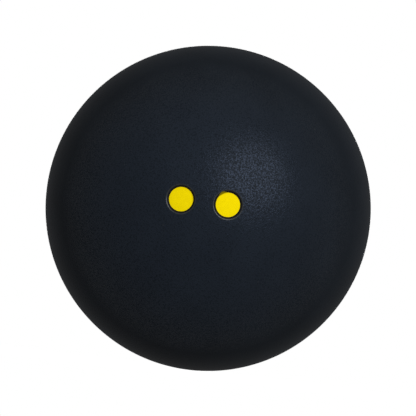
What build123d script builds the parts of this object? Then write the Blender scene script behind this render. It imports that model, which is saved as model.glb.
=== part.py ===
from build123d import *
import os
from math import asin, atan2, cos, degrees, radians, sin, sqrt

# Squash ball with two dots: two moulded rubber half shells, the cement that bonds their rims,
# and two dots of ink that lie in recesses pressed into the front half.
# Millimetres. The origin is the ball's centre and +Z is up. The halves are moulded along Y,
# so the seam lies in the XZ plane. The dots face -Y, side by side along X.

# Ball
ball_diameter = 40.0  # the rules of the game ask for 40.0, plus or minus 0.5
wall_thickness = 5.0  # gives 24 g in a mineral-filled rubber

# Bonded seam
bond_thickness = 0.2  # cement between the two flat rims
bead_width = 1.8  # cement squeezed out inside, measured across the seam
bead_height = 0.5  # how far that bead stands into the air space

# Dots
dot_diameter = 2.9  # the yellow disc that shows
dot_spacing = 5.6  # between the centres of the two discs
dot_sink = 0.3  # from the ball's surface down to the face of the ink
ink_thickness = 0.1
recess_lean = 45.0  # degrees that the wall of a recess leans out from the dot's axis
lip_radius = 0.2  # rounding at the mouth of a recess

# Distances from the ball's centre
outer_radius = ball_diameter / 2
inner_radius = outer_radius - wall_thickness
bead_top_radius = inner_radius - bead_height
ink_face_radius = outer_radius - dot_sink
recess_floor_radius = ink_face_radius - ink_thickness
die_back_radius = outer_radius + lip_radius  # clear of the surface


def rim_turn(radius, width):
    """Degrees round from the seam plane to the edge of a band of this width, on a circle of this radius."""
    return degrees(asin(width / 2 / radius))


# The section of one half runs from its crown, at -Y, round to its flat rim. It is drawn below the axis
# of the mould, so that the turned faces close underneath, away from the dots.
with BuildPart() as moulded_half:
    with BuildSketch(Plane.YZ):
        with BuildLine():
            outside = CenterArc((0, 0), outer_radius, 180, 90 - rim_turn(outer_radius, bond_thickness))
            inside = CenterArc((0, 0), inner_radius, 180, 90 - rim_turn(inner_radius, bond_thickness))
            Line(outside @ 0, inside @ 0)
            Line(outside @ 1, inside @ 1)
        make_face()
    revolve(axis=Axis.Y)


# Section of a recess, in a plane through its dot's axis: x is out from that axis, y is along it
# from the ball's centre. The wall is straight, and the lip is an arc that runs into the ball's surface.
def climb(start, distance):
    """The point that lies at this distance from the ball's centre, going from start the way the wall leans."""
    rise = start.dot(wall_way)
    return start + wall_way * (sqrt(rise**2 + distance**2 - start.dot(start)) - rise)


def arc_from_axis(radius, edge):
    """An arc about the ball's centre, from the dot's axis round to this edge point."""
    return CenterArc((0, 0), radius, 90, -degrees(atan2(edge.X, edge.Y)))


wall_way = Vector(sin(radians(recess_lean)), cos(radians(recess_lean)))
into_rubber = Vector(wall_way.Y, -wall_way.X)
dot_radius = dot_diameter / 2
ink_edge = Vector(dot_radius, sqrt(ink_face_radius**2 - dot_radius**2))
floor_edge = climb(ink_edge, recess_floor_radius)
lip_centre = climb(ink_edge + into_rubber * lip_radius, outer_radius - lip_radius)
wall_top = lip_centre - into_rubber * lip_radius
lip_edge = lip_centre.normalized() * outer_radius
die_edge = lip_centre.normalized() * die_back_radius

# Each dot has its own axis through the ball's centre, turned away from -Y to the left or to the right.
dot_turn = asin(dot_spacing / 2 / ink_face_radius)
dot_names = {-1: "left_dot", 1: "right_dot"}
recess_dies = []
ink_dots = []
for side in dot_names:
    dot_axis = Axis((0, 0, 0), (side * sin(dot_turn), -cos(dot_turn), 0))
    dot_section = Plane(origin=(0, 0, 0), x_dir=(0, 0, 1), z_dir=Axis.Z.direction.cross(dot_axis.direction))

    with BuildPart() as recess_die:
        with BuildSketch(dot_section):
            with BuildLine():
                floor = arc_from_axis(recess_floor_radius, floor_edge)
                wall = Line(floor @ 1, wall_top)
                lip = TangentArc(wall @ 1, lip_edge, tangent=wall_way)
                back = arc_from_axis(die_back_radius, die_edge)
                Line(lip @ 1, back @ 1)
                Line(back @ 0, floor @ 0)
            make_face()
        revolve(axis=dot_axis)
    recess_dies.append(recess_die.part)

    with BuildPart() as ink_dot:
        with BuildSketch(dot_section):
            with BuildLine():
                floor = arc_from_axis(recess_floor_radius, floor_edge)
                face = arc_from_axis(ink_face_radius, ink_edge)
                Line(floor @ 0, face @ 0)
                Line(floor @ 1, face @ 1)
            make_face()
        revolve(axis=dot_axis)
    ink_dot.part.label = dot_names[side]
    ink_dots.append(ink_dot.part)

# Both halves come from the same mould. Only the front one has recesses.
with BuildPart() as front_half_shell:
    add(moulded_half.part)
    add(recess_dies, mode=Mode.SUBTRACT)
front_half_shell.part.label = "front_half_shell"

with BuildPart() as rear_half_shell:
    mirror(moulded_half.part, about=Plane.XZ)
rear_half_shell.part.label = "rear_half_shell"

# The bond is a thin land between the rims, flush with the outside, that widens into the bead inside.
# Its section lies at the bottom of the ball, and the bead's two feet lie on the inside of the halves.
with BuildPart() as seam_bond:
    with BuildSketch(Plane.YZ):
        land_turn = rim_turn(outer_radius, bond_thickness)
        neck_turn = rim_turn(inner_radius, bond_thickness)
        bead_turn = rim_turn(inner_radius, bead_width)
        with BuildLine():
            land = CenterArc((0, 0), outer_radius, 270 - land_turn, 2 * land_turn)
            front_foot = CenterArc((0, 0), inner_radius, 270 - bead_turn, bead_turn - neck_turn)
            rear_foot = CenterArc((0, 0), inner_radius, 270 + neck_turn, bead_turn - neck_turn)
            Line(land @ 0, front_foot @ 1)
            Line(land @ 1, rear_foot @ 0)
            ThreePointArc(front_foot @ 0, (0, -bead_top_radius), rear_foot @ 1)
        make_face()
    revolve(axis=Axis.Y)
seam_bond.part.label = "seam_bond"

os.makedirs("parts", exist_ok=True)
export_step(front_half_shell.part, "parts/front_half_shell.step")
export_step(rear_half_shell.part, "parts/rear_half_shell.step")
export_step(seam_bond.part, "parts/seam_bond.step")
for dot in ink_dots:
    export_step(dot, f"parts/{dot.label}.step")
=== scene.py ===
import math

import bmesh
import bpy
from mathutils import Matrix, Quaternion, Vector, noise
from mathutils.geometry import delaunay_2d_cdt


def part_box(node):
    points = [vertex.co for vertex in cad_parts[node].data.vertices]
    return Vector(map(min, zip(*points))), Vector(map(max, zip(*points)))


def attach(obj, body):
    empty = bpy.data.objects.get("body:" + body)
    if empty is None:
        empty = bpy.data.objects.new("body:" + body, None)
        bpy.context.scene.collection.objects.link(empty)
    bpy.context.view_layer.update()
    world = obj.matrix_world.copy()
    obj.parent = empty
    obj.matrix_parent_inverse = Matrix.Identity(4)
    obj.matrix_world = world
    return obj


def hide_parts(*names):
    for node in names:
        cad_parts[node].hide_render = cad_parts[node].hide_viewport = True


# Squash ball with two sunken yellow dots, at rest on a pale floor.
# The frame holds the solids. The pieces here stand for them with finer surfaces: the moulded halves with
# their pressed recesses, the cement between their rims, and the ink in the recesses. Metres throughout.

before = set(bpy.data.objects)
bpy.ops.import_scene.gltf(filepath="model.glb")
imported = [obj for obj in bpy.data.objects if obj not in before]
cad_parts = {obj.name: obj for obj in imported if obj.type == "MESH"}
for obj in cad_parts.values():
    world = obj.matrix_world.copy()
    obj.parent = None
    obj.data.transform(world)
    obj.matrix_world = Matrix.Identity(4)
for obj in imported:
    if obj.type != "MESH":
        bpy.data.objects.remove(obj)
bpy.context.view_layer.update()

MM = 0.001


def reach(node):
    """Nearest and farthest distance of a CAD node's points from the ball's centre."""
    distances = [vertex.co.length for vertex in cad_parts[node].data.vertices]
    return min(distances), max(distances)


def axis_of(node):
    """Direction from the ball's centre through the middle of a CAD node."""
    low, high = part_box(node)
    return ((low + high) / 2).normalized()


# Sizes read from the frame
inner_radius, outer_radius = reach("rear_half_shell")
bead_top_radius = reach("seam_bond")[0]
rim_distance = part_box("rear_half_shell")[0].y  # from the seam plane to the flat rim of a half
bead_half_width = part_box("seam_bond")[1].y
recess_floor_radius, ink_face_radius = reach("right_dot")
dot_radius = (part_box("right_dot")[1].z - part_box("right_dot")[0].z) / 2
left_axis = axis_of("left_dot")
right_axis = axis_of("right_dot")
mould_axis = Vector((0, -1, 0))

# Recess, as in the solids
recess_lean = math.radians(45)  # how far its wall leans out from the dot's axis
lip_radius = 0.2 * MM

# Fineness of the halves
skin_spacing = 0.42 * MM  # between neighbouring points of the outside
skin_clearance = 0.6  # from those points to the fixed rings of the skin, as a share of the spacing
inside_spacing = 1.1 * MM
inside_clearance = 0.5  # the same for the rim of the inside
ring_points = 132  # round each recess
ring_growth = 1.35  # of the spacing, from one ring of the skin round a recess to the next
ring_step = 0.9  # between two such rings, as a share of the spacing
seam_points = 360  # round the seam
lip_steps = 6
floor_shares = (0.7, 0.35)  # rings on the floor of a recess, as shares of its radius
rounding_steps = 4  # of the edge along the seam
merge_distance = 1e-9  # points of a flattened half that lie closer count as one
crisp_angle = math.radians(30)  # edges that turn more than this stay sharp

# Relief of the moulded outside
wave_height = 0.006 * MM
wave_length = 5.0 * MM
ripple_height = 0.0015 * MM
ripple_length = 1.4 * MM
rim_rounding = 0.07 * MM  # edge of each half along the seam

# Cement in the seam
land_sink = 0.035 * MM  # how far it lies under the ball's surface
land_hollow = 0.3 * land_sink  # how much deeper its middle lies
land_unevenness = 0.012 * MM
bead_unevenness = 0.08  # share of the bead's height
lump_length = 3.0 * MM  # of both, along the seam
land_seed = 0.0
bead_seed = 5.0
land_steps = 4  # of the bond's section: across the land, along each foot of the bead and over the bead
foot_steps = 2
bead_steps = 8

# Edge of the ink
meniscus_width = 0.12 * MM
meniscus_steps = 4
face_shares = (0.3, 0.6, 0.85)  # rings inside the meniscus, as shares of the radius where it starts
ink_climb = 0.004 * MM  # up the wall of the recess
ink_climb_unevenness = 0.004 * MM
ink_climb_waves = 2.0  # how quickly that changes round the dot
left_ink_seed = 3.0
right_ink_seed = 8.0
overrun_climb = 0.36 * MM  # a smear up the wall of the right recess
overrun_angle = math.radians(122)  # round the dot, from the right, anticlockwise
overrun_half_angle = math.radians(28)

# Finish of the rubber and the cement
noise_range = (0.35, 0.65)  # where most of a noise lies
bloom_length = 4.8 * MM
bloom_detail = 4.0
grain_length = 0.17 * MM
grain_detail = 1.0
glint_spread = 0.2  # how much the grain's gloss differs
gloss_reach = 0.566  # the gloss is gone where the surface turns this far away
facing_blend = 0.5  # the plain setting of a Layer Weight node
coat_weight = 0.08
coat_ior = 1.3
coat_roughness = 0.32
pressed_tint = (0.85, 0.92, 1.0, 1)  # of the gloss on the lips and walls of the recesses

# Wear of the outside
buffed_half_width = 2.4 * MM  # of the band along the seam that was buffed
streak_length = 3.0 * MM
streak_stretch = 20.0  # how much longer than wide a streak is
streak_detail = 2.0
speck_spacing = 3.0 * MM
speck_radius = 0.12 * MM

# Finish of the ink
ink_dark = (0.780, 0.608, 0.0006, 1)
ink_light = (0.814, 0.636, 0.0008, 1)
ink_cloud_length = 0.67 * MM
ink_cloud_detail = 3.0
ink_cloud_height = 0.004 * MM
ink_roughness = (0.65, 0.75)
ink_gloss = 0.01
film_colour = (0.05, 0.04, 0.002, 1)  # of ink that is a thin film on rubber
film_share = 0.8  # of that colour where the film is thinnest
film_start = 0.002 * MM  # height over the ink's face where it gets thin
film_end = 0.05 * MM

# Camera, at the photograph's viewing angle
photo_side = 416
ball_centre_px = Vector((208.15, 208.39))
ball_radius_px = 162.68
camera_distance = 0.55  # from the ball's centre
azimuth = math.radians(1.54)
elevation = math.radians(-2.066)
roll = math.radians(7.05)
sensor_width = 36.0  # in millimetres, as Blender counts it

# Surroundings
ambient_level = 0.1
background_level = 1.0
floor_half_width = 3.0
floor_colour = (0.5, 0.5, 0.5, 1)
floor_lift = 0.75  # makes the floor as white as the background where no shadow falls


# Mesh helpers

class Builder:
    """Collects points and faces for one mesh."""

    def __init__(self):
        self.points = []
        self.faces = []
        self.kinds = []

    def add_points(self, points):
        """Adds points and returns their indices."""
        start = len(self.points)
        self.points.extend(points)
        return list(range(start, len(self.points)))

    def add_faces(self, faces, kind=0):
        """Adds faces that use the material slot of this number."""
        self.faces.extend(faces)
        self.kinds.extend([kind] * len(faces))

    def bridge(self, first, second, kind=0):
        """Joins two closed rings of equal length with a band of faces."""
        count = len(first)
        for i in range(count):
            j = (i + 1) % count
            self.add_faces([(first[i], first[j], second[j], second[i])], kind)

    def fan(self, ring, point, kind=0):
        """Closes a ring with triangles to one new point."""
        count = len(ring)
        tip = self.add_points([point])[0]
        self.add_faces([(ring[i], ring[(i + 1) % count], tip) for i in range(count)], kind)

    def sweep(self, axis, sections):
        """Adds sections at equal steps round an axis, and returns one ring for each point of a section."""
        turns = angles(len(sections))
        rings = []
        for spots in zip(*sections):
            points = [on_circle(axis, out, along, turn) for (out, along), turn in zip(spots, turns)]
            rings.append(self.add_points(points))
        return rings

    def turn_round(self):
        """Turns everything half round about Z."""
        self.points = [Vector((-point.x, -point.y, point.z)) for point in self.points]

    def make(self, name, node, slot, materials):
        """The finished piece, which stands for a CAD node and rides on the ball."""
        mesh = bpy.data.meshes.new(name)
        mesh.from_pydata(self.points, [], self.faces)
        for material in materials:
            mesh.materials.append(material)
        mesh.polygons.foreach_set("material_index", self.kinds)
        mesh.polygons.foreach_set("use_smooth", [True] * len(self.faces))
        shape = bmesh.new()
        shape.from_mesh(mesh)
        bmesh.ops.recalc_face_normals(shape, faces=shape.faces)
        shape.to_mesh(mesh)
        shape.free()
        mesh.set_sharp_from_angle(angle=crisp_angle)
        piece = bpy.data.objects.new(name, mesh)
        bpy.context.scene.collection.objects.link(piece)
        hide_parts(node)
        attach(piece, "root")


def shares(steps):
    """Equal steps from 0 to 1."""
    return [i / steps for i in range(steps + 1)]


def angles(count):
    """Equal steps round a full turn."""
    return [math.tau * i / count for i in range(count)]


def third_side(longest, other):
    """The third side of a right-angled triangle."""
    return math.sqrt(longest**2 - other**2)


def on_circle(axis, radius, height, turn):
    """Point at this turn round an axis through the ball's centre, from the right towards the top."""
    right = Vector((0, 0, 1)).cross(axis).normalized()
    up = axis.cross(right)
    return axis * height + radius * (right * math.cos(turn) + up * math.sin(turn))


def circle_about(axis, radius, height, count):
    """Points of a circle square to an axis through the ball's centre."""
    return [on_circle(axis, radius, height, turn) for turn in angles(count)]


def flatten(point):
    """Stereographic picture of a point, with -Y in the middle and the seam on the unit circle."""
    direction = point.normalized()
    return Vector((direction.x, direction.z)) / (1 - direction.y)


def triangulate(points):
    """Triangles that join points on a half ball, the outermost of which form its rim."""
    flat_points = [flatten(point) for point in points]
    whole_hull = 0  # the kind of result that keeps every triangle
    result = delaunay_2d_cdt(flat_points, [], [], whole_hull, merge_distance)
    return [tuple(face) for face in result[2]]


def spread_points(spacing, radius, rim_height):
    """Evenly spread points of a half ball, from -Y out to this distance from the seam plane."""
    area = math.tau * radius * (radius - rim_height)
    area_per_point = spacing**2 * math.sqrt(3) / 2
    count = round(area / area_per_point)
    golden_turn = math.pi * (3 - math.sqrt(5))
    points = []
    for i in range(count):
        height = radius - (i + 0.5) / count * (radius - rim_height)
        points.append(on_circle(mould_axis, third_side(radius, height), height, i * golden_turn))
    return points


# Section of a recess, in a plane through its dot's axis: x is out from that axis, y is along it.

wall_way = Vector((math.sin(recess_lean), math.cos(recess_lean)))
into_rubber = Vector((wall_way.y, -wall_way.x))


def climb(start, distance):
    """The point at this distance from the ball's centre, going from start the way the wall leans."""
    rise = start.dot(wall_way)
    return start + wall_way * (math.sqrt(rise**2 + distance**2 - start.length_squared) - rise)


def at_radius(x, radius):
    """The point this far out from the axis, on a sphere about the ball's centre."""
    return Vector((x, third_side(radius, x)))


ink_edge = at_radius(dot_radius, ink_face_radius)
floor_edge = climb(ink_edge, recess_floor_radius)
lip_centre = climb(ink_edge + into_rubber * lip_radius, outer_radius - lip_radius)
lip_edge = lip_centre.normalized() * outer_radius
wall_top = lip_centre - into_rubber * lip_radius


def recess_section():
    """Points from inside the edge of the lip down the wall and over the floor."""
    lip_start = math.atan2(lip_edge.y - lip_centre.y, lip_edge.x - lip_centre.x)
    lip_end = math.atan2(wall_top.y - lip_centre.y, wall_top.x - lip_centre.x)
    points = []
    for i in range(1, lip_steps + 1):
        turn = lip_start + (lip_end - lip_start) * i / lip_steps
        points.append(lip_centre + lip_radius * Vector((math.cos(turn), math.sin(turn))))
    points.append(wall_top.lerp(floor_edge, 0.5))
    points.append(floor_edge)
    for share in floor_shares:
        points.append(at_radius(floor_edge.x * share, recess_floor_radius))
    return points


# Moulded half, with its crown at -Y

shoulder_distance = rim_distance + rim_rounding  # where the rounding of the rim's edge starts
lip_kind = 1  # material slots of a half, after 0 for its skin
wall_kind = 2


def relief(point):
    """Height of the moulded surface over the true sphere: a slight unevenness that fades at the seam."""
    fade = min(1.0, abs(point.y) / wave_length)
    wave = wave_height * noise.noise(point / wave_length)
    ripple = ripple_height * noise.noise(point / ripple_length)
    return fade * (wave + ripple)


def points_round_recess(axis):
    """Points of the skin round a recess, which lie further and further apart, and how far out they go."""
    gap = math.tau * lip_edge.x / ring_points
    x = lip_edge.x
    points = []
    while gap < skin_spacing:
        gap *= ring_growth
        x += gap * ring_step
        count = round(math.tau * x / gap)
        points.extend(circle_about(axis, x, third_side(outer_radius, x), count))
    return points, x + gap * skin_clearance


def loose_skin_points(axes):
    """Points of the skin between the recesses at these axes and the shoulder, with their relief."""
    points = []
    zones = []
    for axis in axes:
        nearby, clear = points_round_recess(axis)
        points.extend(nearby)
        zones.append((axis, math.asin(clear / outer_radius)))
    lowest = shoulder_distance + skin_spacing * skin_clearance
    for point in spread_points(skin_spacing, outer_radius, shoulder_distance):
        near_recess = any(point.angle(axis) < zone for axis, zone in zones)
        if not near_recess and -point.y > lowest:
            points.append(point)
    return [point + point.normalized() * relief(point) for point in points]


def add_skin(builder, axes):
    """Adds the outside, open at each axis, and returns the openings' rings and the shoulder's ring."""
    points = []
    for axis in axes:
        points.extend(circle_about(axis, lip_edge.x, lip_edge.y, ring_points))
    opening_points = len(points)
    shoulder_radius = third_side(outer_radius, shoulder_distance)
    points.extend(circle_about(mould_axis, shoulder_radius, shoulder_distance, seam_points))
    points.extend(loose_skin_points(axes))
    used = builder.add_points(points)
    for face in triangulate(points):
        openings = {i // ring_points if i < opening_points else None for i in face}
        inside_opening = len(openings) == 1 and None not in openings
        if not inside_opening:
            builder.add_faces([tuple(used[i] for i in face)])
    opening_rings = [used[k * ring_points:(k + 1) * ring_points] for k in range(len(axes))]
    return opening_rings, used[opening_points:opening_points + seam_points]


def add_recess(builder, axis, ring):
    """Adds the lip, wall and floor of a recess inside its ring of the skin."""
    for i, section in enumerate(recess_section()):
        following = builder.add_points(circle_about(axis, section.x, section.y, ring_points))
        builder.bridge(ring, following, lip_kind if i < lip_steps else wall_kind)
        ring = following
    builder.fan(ring, axis * recess_floor_radius, wall_kind)


def add_rim_and_inside(builder, shoulder):
    """Adds the rounded edge, the flat rim and the inside."""
    ring = shoulder
    for share in shares(rounding_steps)[1:]:
        turn = math.pi / 2 * share
        radius = outer_radius - rim_rounding * (1 - math.cos(turn))
        height = shoulder_distance - rim_rounding * math.sin(turn)
        following = builder.add_points(circle_about(mould_axis, radius, height, seam_points))
        builder.bridge(ring, following)
        ring = following
    rim_radius = third_side(inner_radius, rim_distance)
    points = circle_about(mould_axis, rim_radius, rim_distance, seam_points)
    lowest = rim_distance + inside_spacing * inside_clearance
    for point in spread_points(inside_spacing, inner_radius, rim_distance):
        if -point.y > lowest:
            points.append(point)
    used = builder.add_points(points)
    builder.bridge(ring, used[:seam_points])
    builder.add_faces([tuple(used[i] for i in face) for face in triangulate(points)])


def moulded_half(axes):
    """One half of the ball, with a recess at each axis."""
    half = Builder()
    openings, shoulder = add_skin(half, axes)
    for axis, ring in zip(axes, openings):
        add_recess(half, axis, ring)
    add_rim_and_inside(half, shoulder)
    return half


# Cement ring

def lump(turn, seed):
    """Uneven value between about -1 and 1 along the seam."""
    spot = Vector((math.cos(turn), math.sin(turn), 0)) * outer_radius / lump_length
    return noise.noise(spot + Vector((0, 0, seed)))


def bond_section(turn):
    """Outline of the bond at this turn round the seam: distances from the mould's axis and towards -Y."""
    land_radius = outer_radius - land_sink + land_unevenness * lump(turn, land_seed)
    bead_height = (inner_radius - bead_top_radius) * (1 + bead_unevenness * (lump(turn, bead_seed) - 1))
    points = []
    for share in shares(land_steps):
        side = 2 * share - 1
        points.append((land_radius - land_hollow * (1 - side**2), rim_distance * side))
    feet = [rim_distance + (bead_half_width - rim_distance) * share for share in shares(foot_steps)]
    for foot in feet:
        points.append((third_side(inner_radius, foot), foot))
    for share in shares(bead_steps)[1:-1]:
        half_turn = math.pi * share
        distance = bead_half_width * math.cos(half_turn)
        rise = bead_height * math.sin(half_turn)
        points.append((third_side(inner_radius, distance) - rise, distance))
    for foot in reversed(feet):
        points.append((third_side(inner_radius, foot), -foot))
    return points


def bond_ring():
    """The cement between the rims, with the bead that it forms inside."""
    bond = Builder()
    rings = bond.sweep(mould_axis, [bond_section(turn) for turn in angles(seam_points)])
    for first, second in zip(rings, rings[1:] + rings[:1]):
        bond.bridge(first, second)
    return bond


# Ink

def ink_height(turn, seed, overrun):
    """How far the ink climbs the wall of its recess at this turn round the dot."""
    spot = Vector((math.cos(turn) * ink_climb_waves, math.sin(turn) * ink_climb_waves, seed))
    height = ink_climb + ink_climb_unevenness * noise.noise(spot)
    off = abs(turn - overrun_angle) / overrun_half_angle
    if overrun and off < 1:
        height += overrun_climb * (1 - off**2)**2
    return height


def ink_section(height):
    """Points over the ink's face and up its curved edge, which ends this far up the wall."""
    face_edge = at_radius(dot_radius - meniscus_width, ink_face_radius)
    top = ink_edge + wall_way * height
    points = [at_radius(face_edge.x * share, ink_face_radius) for share in face_shares]
    for share in shares(meniscus_steps):
        on_face = face_edge.lerp(ink_edge, share)
        on_wall = ink_edge.lerp(top, share)
        points.append(on_face.lerp(on_wall, share))
    points.append(floor_edge)
    return points


def ink_disc(axis, seed, overrun=False):
    """The ink in one recess."""
    disc = Builder()
    sections = [ink_section(ink_height(turn, seed, overrun)) for turn in angles(ring_points)]
    rings = disc.sweep(axis, sections)
    for first, second in zip(rings, rings[1:]):
        disc.bridge(first, second)
    disc.fan(rings[0], axis * ink_face_radius)
    disc.fan(rings[-1], axis * recess_floor_radius)
    return disc


# Shader helpers

def add_node(tree, kind, inputs=None, **settings):
    """A new node. Its inputs are values or sockets to link, and its settings are its own properties."""
    node = tree.nodes.new(kind)
    for name, value in settings.items():
        setattr(node, name, value)
    for name, value in (inputs or {}).items():
        if isinstance(value, bpy.types.NodeSocket):
            tree.links.new(value, node.inputs[name])
        else:
            node.inputs[name].default_value = value
    return node


def empty_material(name):
    """A node material with nothing in it yet, and its tree."""
    material = bpy.data.materials.new(name)
    material.use_nodes = True
    material.node_tree.nodes.clear()
    return material, material.node_tree


def computed(tree, operation, *values):
    """A socket with the result of a Math node."""
    return add_node(tree, "ShaderNodeMath", dict(enumerate(values)), operation=operation).outputs[0]


def scaled(tree, value, low, high, from_low=0.0, from_high=1.0, smooth=False):
    """A socket that carries value over to the range from low to high."""
    node = add_node(tree, "ShaderNodeMapRange", {
        "Value": value, "From Min": from_low, "From Max": from_high, "To Min": low, "To Max": high},
        interpolation_type="SMOOTHSTEP" if smooth else "LINEAR")
    return node.outputs["Result"]


def mixed(tree, share, first, second):
    """A socket with the colour that goes from first to second."""
    first_socket = 6  # the colour sockets go by number, because a Mix node has others of the same names
    second_socket = 7
    result_socket = 2
    node = add_node(tree, "ShaderNodeMix", {
        "Factor": share, first_socket: first, second_socket: second}, data_type="RGBA")
    return node.outputs[result_socket]


def cloud_noise(tree, place, length, detail):
    """A socket with smooth noise about 0.5, whose clouds are about this long."""
    node = add_node(tree, "ShaderNodeTexNoise", {"Vector": place, "Scale": 1 / length, "Detail": detail})
    return node.outputs["Fac"]


def seam_streaks(tree, place):
    """A socket that is up to 1 in fine streaks along the seam, where the joint was buffed."""
    across = add_node(tree, "ShaderNodeSeparateXYZ", {"Vector": place}).outputs["Y"]
    distance = computed(tree, "ABSOLUTE", across)
    near = scaled(tree, distance, 1.0, 0.0, 0.0, buffed_half_width, smooth=True)
    squeeze = (1, streak_stretch, 1)
    squeezed = add_node(tree, "ShaderNodeVectorMath", {0: place, 1: squeeze}, operation="MULTIPLY")
    streaks = cloud_noise(tree, squeezed.outputs["Vector"], streak_length, streak_detail)
    return computed(tree, "MULTIPLY", near, scaled(tree, streaks, 0.0, 1.0, *noise_range))


def specks(tree, place):
    """A socket that is 1 in sparse specks of dust and scuffing."""
    spread = add_node(tree, "ShaderNodeTexVoronoi", {"Vector": place, "Scale": 1 / speck_spacing})
    edge = speck_radius / speck_spacing
    return scaled(tree, spread.outputs["Distance"], 1.0, 0.0, edge / 2, edge)


def rubber(name, dark, light, roughness, roughness_spread, gloss, gloss_tint, grain_height, worn=None):
    """Matt black rubber with a fine grain that shows in its gloss, a faint cloudy bloom and worn marks."""
    material, tree = empty_material(name)
    place = add_node(tree, "ShaderNodeTexCoord").outputs["Object"]
    bloom = cloud_noise(tree, place, bloom_length, bloom_detail)
    grain = cloud_noise(tree, place, grain_length, grain_detail)
    colour = mixed(tree, scaled(tree, bloom, 0.0, 1.0, *noise_range), dark, light)
    if worn:
        colour = mixed(tree, seam_streaks(tree, place), colour, worn)
        colour = mixed(tree, specks(tree, place), colour, worn)
    facing = add_node(tree, "ShaderNodeLayerWeight", {"Blend": facing_blend}).outputs["Facing"]
    sheen = scaled(tree, facing, gloss, 0.0, 0.0, gloss_reach, smooth=True)
    glint = scaled(tree, grain, 1 + glint_spread, 1 - glint_spread, *noise_range)
    smoothest = roughness - roughness_spread
    roughest = roughness + roughness_spread
    bump = add_node(tree, "ShaderNodeBump", {"Height": grain, "Distance": grain_height})
    shader = add_node(tree, "ShaderNodeBsdfPrincipled", {
        "Base Color": colour,
        "Roughness": scaled(tree, grain, smoothest, roughest, *noise_range),
        "Specular IOR Level": computed(tree, "MULTIPLY", sheen, glint),
        "Specular Tint": gloss_tint,
        "Coat Weight": coat_weight,
        "Coat IOR": coat_ior,
        "Coat Roughness": coat_roughness,
        "Normal": bump.outputs["Normal"],
    })
    add_node(tree, "ShaderNodeOutputMaterial", {"Surface": shader.outputs["BSDF"]})
    return material


def ink(name):
    """Flat yellow ink, slightly uneven, and olive where it is a thin film on the wall of the recess."""
    material, tree = empty_material(name)
    place = add_node(tree, "ShaderNodeTexCoord").outputs["Object"]
    cloud = cloud_noise(tree, place, ink_cloud_length, ink_cloud_detail)
    full = mixed(tree, scaled(tree, cloud, 0.0, 1.0, *noise_range), ink_dark, ink_light)
    height = add_node(tree, "ShaderNodeVectorMath", {0: place}, operation="LENGTH").outputs["Value"]
    film = scaled(tree, height, 0.0, film_share, ink_face_radius + film_start, ink_face_radius + film_end)
    bump = add_node(tree, "ShaderNodeBump", {"Height": cloud, "Distance": ink_cloud_height})
    shader = add_node(tree, "ShaderNodeBsdfPrincipled", {
        "Base Color": mixed(tree, film, full, film_colour),
        "Roughness": scaled(tree, cloud, *ink_roughness, *noise_range),
        "Specular IOR Level": ink_gloss,
        "Normal": bump.outputs["Normal"],
    })
    add_node(tree, "ShaderNodeOutputMaterial", {"Surface": shader.outputs["BSDF"]})
    return material


# Materials
moulded_rubber = rubber(
    "moulded_rubber", dark=(0.0057, 0.0078, 0.0109, 1), light=(0.0069, 0.0094, 0.0131, 1),
    roughness=0.51, roughness_spread=0.46, gloss=0.098, gloss_tint=(0.46, 0.62, 1.0, 1),
    grain_height=0.04 * MM, worn=(0.016, 0.018, 0.021, 1))
# The lips of the recesses are much darker than the skin. This is painted shade that deepens the dark ring
# round each dot. Their gloss and its glints come from the lamps.
lip_rubber_painted_dark = rubber(
    "lip_rubber_painted_dark", dark=(0.0025, 0.0028, 0.0034, 1), light=(0.0035, 0.0038, 0.0045, 1),
    roughness=0.3, roughness_spread=0.04, gloss=0.26, gloss_tint=pressed_tint,
    grain_height=0.002 * MM)
pressed_rubber = rubber(
    "pressed_rubber", dark=(0.006, 0.0062, 0.0064, 1), light=(0.0075, 0.0077, 0.008, 1),
    roughness=0.5, roughness_spread=0.1, gloss=0.03, gloss_tint=pressed_tint,
    grain_height=0.004 * MM)
cement = rubber(
    "rubber_cement", dark=(0.0085, 0.0108, 0.0138, 1), light=(0.0115, 0.0142, 0.0175, 1),
    roughness=0.42, roughness_spread=0.1, gloss=0.12, gloss_tint=(0.6, 0.75, 1.0, 1),
    grain_height=0.006 * MM)
yellow_ink = ink("yellow_ink")

# Pieces
front_half = moulded_half([left_axis, right_axis])
rear_half = moulded_half([])
rear_half.turn_round()
left_disc = ink_disc(left_axis, left_ink_seed)
right_disc = ink_disc(right_axis, right_ink_seed, overrun=True)

front_half.make("front_shell", "front_half_shell", "rubber", [moulded_rubber, lip_rubber_painted_dark, pressed_rubber])
rear_half.make("rear_shell", "rear_half_shell", "rubber", [moulded_rubber])
bond_ring().make("cement_ring", "seam_bond", "cement", [cement])
left_disc.make("left_ink", "left_dot", "ink", [yellow_ink])
right_disc.make("right_ink", "right_dot", "ink", [yellow_ink])

# Camera. Its shift takes the ball from the middle of the picture to its place in the photograph.
back = Vector((math.sin(azimuth) * math.cos(elevation), -math.cos(azimuth) * math.cos(elevation),
               math.sin(elevation)))
focal_px = ball_radius_px * third_side(camera_distance, outer_radius) / outer_radius
camera_data = bpy.data.cameras.new("camera")
camera_data.sensor_width = sensor_width
camera_data.lens = focal_px / photo_side * sensor_width
camera_data.shift_x = (photo_side / 2 - ball_centre_px.x) / photo_side
camera_data.shift_y = (ball_centre_px.y - photo_side / 2) / photo_side
camera = bpy.data.objects.new("camera", camera_data)
camera.location = back * camera_distance
camera.rotation_mode = "QUATERNION"
camera.rotation_quaternion = (-back).to_track_quat("-Z", "Y") @ Quaternion((0, 0, 1), roll)
bpy.context.scene.collection.objects.link(camera)
bpy.context.scene.camera = camera


# Light: a soft key from the upper right, a wide fill from above, a light for the far side,
# and an even pale surrounding

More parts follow.
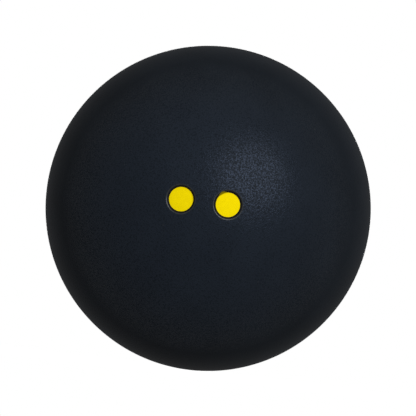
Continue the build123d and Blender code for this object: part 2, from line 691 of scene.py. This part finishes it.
def add_sun(name, way, level, spread):
    """A soft light from this way: to the camera's right, up and back. Level 1 shows white as white."""
    data = bpy.data.lights.new(name, "SUN")
    data.energy = math.pi * level
    data.angle = math.radians(spread)
    sun = bpy.data.objects.new(name, data)
    sun.rotation_mode = "QUATERNION"
    sun.rotation_quaternion = (camera.rotation_quaternion @ Vector(way)).to_track_quat("Z", "Y")
    bpy.context.scene.collection.objects.link(sun)


add_sun("key", way=(0.496, 0.378, 0.782), level=0.97, spread=46)
add_sun("fill", way=(0.0, 0.8, 0.6), level=0.19, spread=90)
add_sun("rear", way=(0.0, 0.0, -1.0), level=0.9, spread=12)


def seen_directly(tree):
    """A socket that is 1 for what the camera sees, directly, mirrored or through glass, and else 0."""
    path = add_node(tree, "ShaderNodeLightPath")
    seen = computed(tree, "MAXIMUM", path.outputs["Is Camera Ray"], path.outputs["Is Glossy Ray"])
    return computed(tree, "MAXIMUM", seen, path.outputs["Is Transmission Ray"])


def pale_surround():
    """A world that is white to look at and lights the ball only a little."""
    world = bpy.data.worlds.new("surround")
    world.use_nodes = True
    tree = world.node_tree
    tree.nodes.clear()
    strength = scaled(tree, seen_directly(tree), ambient_level, background_level)
    white = add_node(tree, "ShaderNodeBackground", {"Color": (1, 1, 1, 1), "Strength": strength})
    add_node(tree, "ShaderNodeOutputWorld", {"Surface": white.outputs[0]})
    world.cycles.sampling_method = "NONE"
    return world


def pale_floor():
    """A matt floor that shows the ball's shadow to the camera, and is plain white where it is mirrored."""
    material, tree = empty_material("pale_floor")
    matt = add_node(tree, "ShaderNodeBsdfDiffuse", {"Color": floor_colour})
    strength = scaled(tree, seen_directly(tree), 0.0, floor_lift)
    lift = add_node(tree, "ShaderNodeEmission", {"Strength": strength})
    lit = add_node(tree, "ShaderNodeAddShader", {0: matt.outputs[0], 1: lift.outputs[0]})
    plain = add_node(tree, "ShaderNodeEmission", {"Strength": background_level})
    mirrored = add_node(tree, "ShaderNodeLightPath").outputs["Is Glossy Ray"]
    shown = add_node(tree, "ShaderNodeMixShader", {0: mirrored, 1: lit.outputs[0], 2: plain.outputs[0]})
    add_node(tree, "ShaderNodeOutputMaterial", {"Surface": shown.outputs[0]})
    material.cycles.emission_sampling = "NONE"
    return material


bpy.context.scene.world = pale_surround()

floor_mesh = bpy.data.meshes.new("floor")
floor_corners = []
for x, y in ((-1, -1), (1, -1), (1, 1), (-1, 1)):
    floor_corners.append((x * floor_half_width, y * floor_half_width, -outer_radius))
floor_mesh.from_pydata(floor_corners, [], [(0, 1, 2, 3)])
floor_mesh.materials.append(pale_floor())
floor = bpy.data.objects.new("floor", floor_mesh)
bpy.context.scene.collection.objects.link(floor)

bpy.context.scene.view_settings.view_transform = "Standard"

bpy.context.view_layer.update()
